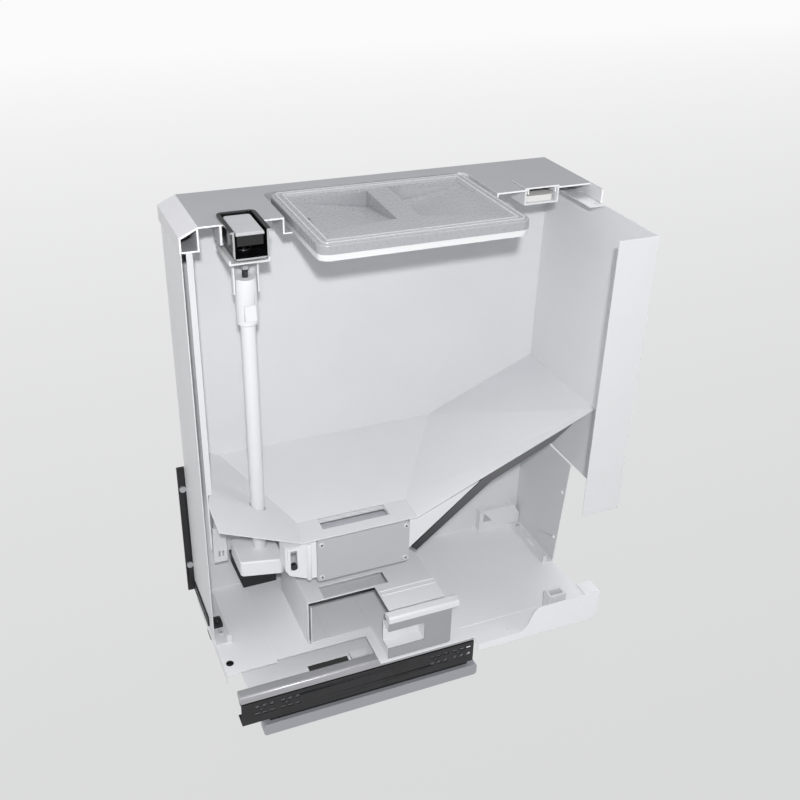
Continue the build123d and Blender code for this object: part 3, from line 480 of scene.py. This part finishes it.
def add_panel_half(mesh, side, corners):
    """Half of the lid's panel, on one side of the bar, with the recess that has these corners."""
    hole = [Vector((lid_middle.x + side * x * MM, lid_middle.y + y * MM, panel_z)) for x, y in corners]
    rim = [
        Vector((lid_middle.x + side * x, lid_middle.y + y, panel_z))
        for x, y in (
            (panel_reach.x, -panel_reach.y), (0, -panel_reach.y), (0, panel_reach.y), tuple(panel_reach),
        )
    ]
    outer_line, hole_line = sweep_round(rim), sweep_round(hole)
    span = [step / PANEL_STEPS for step in range(PANEL_STEPS)]
    floor_line = [sunk(hole, part, 0) for part in span] + [sunk(hole, 1, part) for part in span]
    floor_line += [sunk(hole, 1 - part, 1) for part in span] + [sunk(hole, 0, 1 - part) for part in span]
    for index in range(len(hole_line)):
        rim_side = (outer_line[index - 1], outer_line[index])
        add_face(mesh, (*rim_side, hole_line[index], hole_line[index - 1]))
        floor_side = (floor_line[index], floor_line[index - 1])
        wall = [hole_line[index - 1], hole_line[index]]
        wall += [point for point in floor_side if point.z < panel_z - SAME_POINT]
        if len(wall) > 2:
            add_face(mesh, wall)
    for row in range(PANEL_STEPS):
        near, far = row / PANEL_STEPS, (row + 1) / PANEL_STEPS
        for column in range(PANEL_STEPS):
            start, stop = column / PANEL_STEPS, (column + 1) / PANEL_STEPS
            cell = ((start, near), (stop, near), (stop, far), (start, far))
            add_face(mesh, [sunk(hole, *place) for place in cell])


mesh = bmesh.new()
add_panel_half(mesh, -1, LEFT_RECESS)
add_panel_half(mesh, 1, RIGHT_RECESS)
bmesh.ops.remove_doubles(mesh, verts=mesh.verts, dist=SAME_POINT)
bmesh.ops.recalc_face_normals(mesh, faces=mesh.faces)
if max(mesh.faces, key=lambda face: face.calc_area()).normal.z < 0:
    bmesh.ops.reverse_faces(mesh, faces=mesh.faces)
lid_panel = solid("lid_panel", mesh, look["smoke_lid"], PANEL_SHARP)
thicken = lid_panel.modifiers.new("thicken", "SOLIDIFY")
thicken.thickness = PANEL_THICKNESS
thicken.offset = -1
for piece in (lid_frame, lid_panel):
    even = piece.modifiers.new("even", "WEIGHTED_NORMAL")
    even.keep_sharp = True
    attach(piece, "lid")
    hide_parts("lid")


# Blind black plug in the hole at the base plate's front corner, painted shade: a dark piece where the
# shade seen through the hole would be; (radius, rise) in mm
PLUG_PROFILE = (
    (3.5, -2.2), (3.5, 0.0), (4.6, 0.0), (4.6, 0.5), (4.2, 0.8), (3.6, 0.8), (3.1, 0.2), (2.8, -1.4),
    (0.4, -1.4),
)
PLUG_SIDES = 32
PLUG_FROM_FRONT = 8 * MM
PLUG_FROM_SECTION = 48 * MM
plug_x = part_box("base_plate")[0].x + PLUG_FROM_FRONT
plug_at = Vector((plug_x, SECTION_Y - PLUG_FROM_SECTION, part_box("cup_bay")[0].z))
plug_rings = [
    circle_at(plug_at, radius * MM, plug_at.z + rise * MM, PLUG_SIDES) for radius, rise in PLUG_PROFILE
]
shade_plug = skin("shade_plug", plug_rings, look["black_plastic"])
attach(shade_plug, "carriage")

# Adjuster stud, with a thread that winds round it as a groove
stud_low, stud_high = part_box("adjuster_stud")
stud_centre = (stud_low + stud_high) / 2
STUD_RADIUS = (stud_high.x - stud_low.x) / 2
PITCH = 1.25 * MM
THREAD_DEPTH = 0.75 * MM
STEPS_PER_TURN = 6
STUD_SIDES = 20
count = int((stud_high.z - stud_low.z) / PITCH * STEPS_PER_TURN)
stud_rings = []
for step in range(count + 1):
    z = stud_low.z + (stud_high.z - stud_low.z) * step / count

    def groove(angle, z=z):
        """Depth of the thread at this height and angle."""
        turn = ((z - stud_low.z) / PITCH - angle / (2 * math.pi)) % 1
        return THREAD_DEPTH * abs(2 * turn - 1)

    stud_rings.append(circle_at(stud_centre, STUD_RADIUS, z, STUD_SIDES, groove))
threaded_stud = skin("threaded_stud", stud_rings, look["dark_steel"])
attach(threaded_stud, "push_rod")
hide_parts("adjuster_stud")

# Return spring with flat end turns
spring_low, spring_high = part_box("return_spring")
spring_centre = (spring_low + spring_high) / 2
WIRE = 0.6 * MM
COIL_RADIUS = (spring_high.x - spring_low.x) / 2 - WIRE
TURNS = 5
FLAT_TURNS = 0.8
SPRING_STEPS = 120
WIRE_SIDES = 8
spring_climb = spring_high.z - spring_low.z - 2 * WIRE
spring_rings = []
for step in range(SPRING_STEPS + 1):
    turns = TURNS * step / SPRING_STEPS
    climb = min(1, max(0, (turns - FLAT_TURNS) / (TURNS - 2 * FLAT_TURNS)))
    outward = Vector((math.cos(2 * math.pi * turns), math.sin(2 * math.pi * turns), 0))
    at = Vector((spring_centre.x, spring_centre.y, spring_low.z + WIRE + climb * spring_climb))
    at += outward * COIL_RADIUS
    ring = []
    for corner in range(WIRE_SIDES):
        turn = 2 * math.pi * corner / WIRE_SIDES
        ring.append(at + outward * (WIRE * math.cos(turn)) + Vector((0, 0, WIRE * math.sin(turn))))
    spring_rings.append(ring)
coil_spring = skin("coil_spring", spring_rings, look["dark_steel"])
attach(coil_spring, "carriage")
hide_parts("return_spring")
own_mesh(coil_spring)


# Screws: pan heads with a cross recess, where the CAD has plain ones; the recess is painted dark as
# shade
SCREW_REACH = 20 * MM
HEAD_HEIGHT = 1.9 * MM
SHANK_RADIUS = 1.75 * MM
SCREW_SIDES = 32
FIRST_TWIST = 0.4
TWIST_STEP = 0.9
# (radius, drop) of the crown, as shares of the head's radius and height; so are the recess's sizes,
# and the part of it that is painted dark as shade
CROWN = (
    (1.0, 0.62), (0.97, 0.35), (0.86, 0.15), (0.7, 0.06), (0.5, 0.0), (0.36, 0.0), (0.24, 0.0),
    (0.1, 0.0),
)
CROSS_REACH = 0.55
CROSS_HALF_WIDTH = 0.13
CROSS_DEPTH = 0.55
SHADE_REACH = 0.45
SHADE_FROM = 0.2


def islands(node, reach):
    """Lowest and highest corners of each separate solid of a node, all smaller than reach."""
    found = []
    for vertex in nodes[node].data.vertices:
        for group in found:
            if (group[0] - vertex.co).length < reach:
                group.append(vertex.co.copy())
                break
        else:
            found.append([vertex.co.copy()])
    corners = []
    for group in found:
        least = Vector([min(point[axis] for point in group) for axis in range(3)])
        most = Vector([max(point[axis] for point in group) for axis in range(3)])
        corners.append((least, most))
    return corners


def add_screw(mesh, top, axis, head_radius, length, twist):
    """Cross-recessed screw whose head's crown is at top, with its shank along -axis and painted shade in
    its recess.
    """
    spin = axis.to_track_quat("Z", "Y").to_matrix()
    shank = SHANK_RADIUS / head_radius
    loops = []
    for radius, drop in [(shank, length / HEAD_HEIGHT), (shank, 1.0), (1.0, 1.0), *CROWN]:
        ring = []
        for index in range(SCREW_SIDES):
            angle = 2 * math.pi * index / SCREW_SIDES
            x, y = radius * head_radius * math.cos(angle), radius * head_radius * math.sin(angle)
            crossed = radius <= CROSS_REACH and min(abs(x), abs(y)) < head_radius * CROSS_HALF_WIDTH
            sink = HEAD_HEIGHT * CROSS_DEPTH if crossed else 0
            flat = Matrix.Rotation(twist, 3, "Z") @ Vector((x, y, -drop * HEAD_HEIGHT - sink))
            ring.append(mesh.verts.new(top + spin @ flat))
        loops.append(ring)
    for one, two in zip(loops, loops[1:]):
        for index in range(SCREW_SIDES):
            face = mesh.faces.new((one[index - 1], one[index], two[index], two[index - 1]))
            away = face.calc_center_median() - top
            deep = -away.dot(axis)
            across = (away + axis * deep).length
            # Faces deep in the cross recess take the dark second material as painted shade
            recessed = HEAD_HEIGHT * SHADE_FROM < deep < HEAD_HEIGHT
            face.material_index = int(recessed and across < head_radius * SHADE_REACH)
    mesh.faces.new(loops[0])
    last = mesh.faces.new(reversed(loops[-1]))
    # The crown's middle face, down in the recess, is painted dark as shade too
    last.material_index = 1


for name, axis, piece_name in (
    ("housing_screws", Vector((0, -1, 0)), "plate_screws"),
    ("flange_screws", Vector((0, 0, 1)), "wall_screws"),
):
    mesh = bmesh.new()
    for order, (least, most) in enumerate(islands(name, SCREW_REACH)):
        size = most - least
        length = abs(size.dot(axis))
        top = (least + most) / 2 + axis * (length / 2)
        across = [value for value, part in zip(size, axis) if abs(part) < 0.5]
        add_screw(mesh, top, axis, max(across) / 2, length, FIRST_TWIST + order * TWIST_STEP)
    bmesh.ops.recalc_face_normals(mesh, faces=mesh.faces)
    screws = solid(piece_name, mesh, look["screw_zinc"])
    # The dark steel in the recesses is painted shade
    screws.data.materials.append(look["dark_steel"])
    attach(screws, "carriage")
    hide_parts(name)


# ---------------------------------------------------------------- camera, light and floor
# The camera was matched to the photo: its place in metres, its turns in degrees, its lens in mm
CAMERA_AT = Vector((-0.40305, -0.93325, 0.9472))
CAMERA_YAW = 23.58
CAMERA_DOWN = 29.51
CAMERA_ROLL = 1.59
SENSOR_WIDTH = 36
FOCAL_LENGTH = 45.7
camera_data = bpy.data.cameras.new("camera")
camera_data.sensor_width = SENSOR_WIDTH
camera_data.lens = FOCAL_LENGTH
camera = bpy.data.objects.new("camera", camera_data)
bpy.context.scene.collection.objects.link(camera)
aim = Euler((math.radians(90 - CAMERA_DOWN), 0, math.radians(-CAMERA_YAW))).to_matrix().to_4x4()
roll = Matrix.Rotation(math.radians(CAMERA_ROLL), 4, "Z")
camera.matrix_world = Matrix.Translation(CAMERA_AT) @ aim @ roll
bpy.context.scene.camera = camera


def softbox(name, at, size, power, target):
    """Square area light turned towards its target."""
    data = bpy.data.lights.new(name, "AREA")
    data.size = size
    data.energy = power
    lamp = bpy.data.objects.new(name, data)
    lamp.location = at
    lamp.rotation_euler = (target - at).to_track_quat("-Z", "Y").to_euler()
    bpy.context.scene.collection.objects.link(lamp)


# Name, place, size in metres and power in watts; the key is the flash that throws the lid's shadow
centre = (low + high) / 2
for lamp_name, lamp_at, lamp_size, lamp_power in (
    ("key", Vector((-0.45, -1.114, 1.15)), 0.05, 13.5),
    ("top", centre + Vector((0.4, 0.6, 2.6)), 2.2, 34),
    ("right", centre + Vector((2.2, -1.6, 1.0)), 1.2, 9),
    ("left", centre + Vector((-2.4, -0.2, 0.9)), 1.4, 8),
):
    softbox(lamp_name, lamp_at, lamp_size, lamp_power, centre)

ROOM_COLOUR = (0.95, 0.955, 0.97, 1)
ROOM_STRENGTH = 0.36
world = bpy.data.worlds.new("studio")
bpy.context.scene.world = world
world.use_nodes = True
background = world.node_tree.nodes["Background"]
background.inputs["Color"].default_value = ROOM_COLOUR
background.inputs["Strength"].default_value = ROOM_STRENGTH
bpy.context.scene.view_settings.view_transform = "Standard"
bpy.context.scene.view_settings.look = "None"

# The floor glows in the backdrop's own tone, paler towards the back, with a painted shadow under the
# part
FLOOR_SIZE = 30
FLOOR_GAP = 0.5 * MM
FLOOR_FADE = (-0.3, 4.0)
FLOOR_FRONT, FLOOR_BACK = (0.675, 0.677, 0.68), (0.955, 0.955, 0.955)
# The painted shadow under the part: its colour and the width of its soft edge
FLOOR_SHADOW = (0.03, 0.03, 0.03)
SHADOW_EDGE = 30 * MM
FLOOR_SURFACE = ((0.018, 0.018, 0.018), (0.022, 0.022, 0.022))
FLOOR_CLOUD = 0.6
bpy.ops.mesh.primitive_plane_add(size=FLOOR_SIZE, location=(0, 0, low.z - FLOOR_GAP))
floor = bpy.context.object
floor.name = "floor"
floor_look, tree, shader = node_tree("floor")
place = tree.nodes.new("ShaderNodeTexCoord").outputs["Object"]
parts = separate(tree, place)
glow = mix(tree, remap(tree, parts["Y"], *FLOOR_FADE, 0, 1), FLOOR_FRONT, FLOOR_BACK)
under_low, under_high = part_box("foot_rail_near")[0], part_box("foot_rail_far")[1]
# Painted shadow: the floor turns dark inside the foot rails' footprint, softly at its edge
shadow_masks = []
for axis, output in ((0, "X"), (1, "Y")):
    middle = (under_low[axis] + under_high[axis]) / 2
    half_span = (under_high[axis] - under_low[axis]) / 2
    offset = maths(tree, "ABSOLUTE", maths(tree, "SUBTRACT", parts[output], middle), 0)
    shadow_masks.append(remap(tree, offset, half_span - SHADOW_EDGE, half_span, 1, 0))
glow = mix(tree, maths(tree, "MULTIPLY", *shadow_masks), glow, FLOOR_SHADOW)
tree.links.new(glow, shader.inputs["Emission Color"])
shader.inputs["Emission Strength"].default_value = 1.0
surface = mix(tree, noise(tree, place, FLOOR_CLOUD, 2), *FLOOR_SURFACE)
tree.links.new(surface, shader.inputs["Base Color"])
shader.inputs["Specular IOR Level"].default_value = 0.0
shader.inputs["Roughness"].default_value = 0.9
floor.data.materials.append(floor_look)
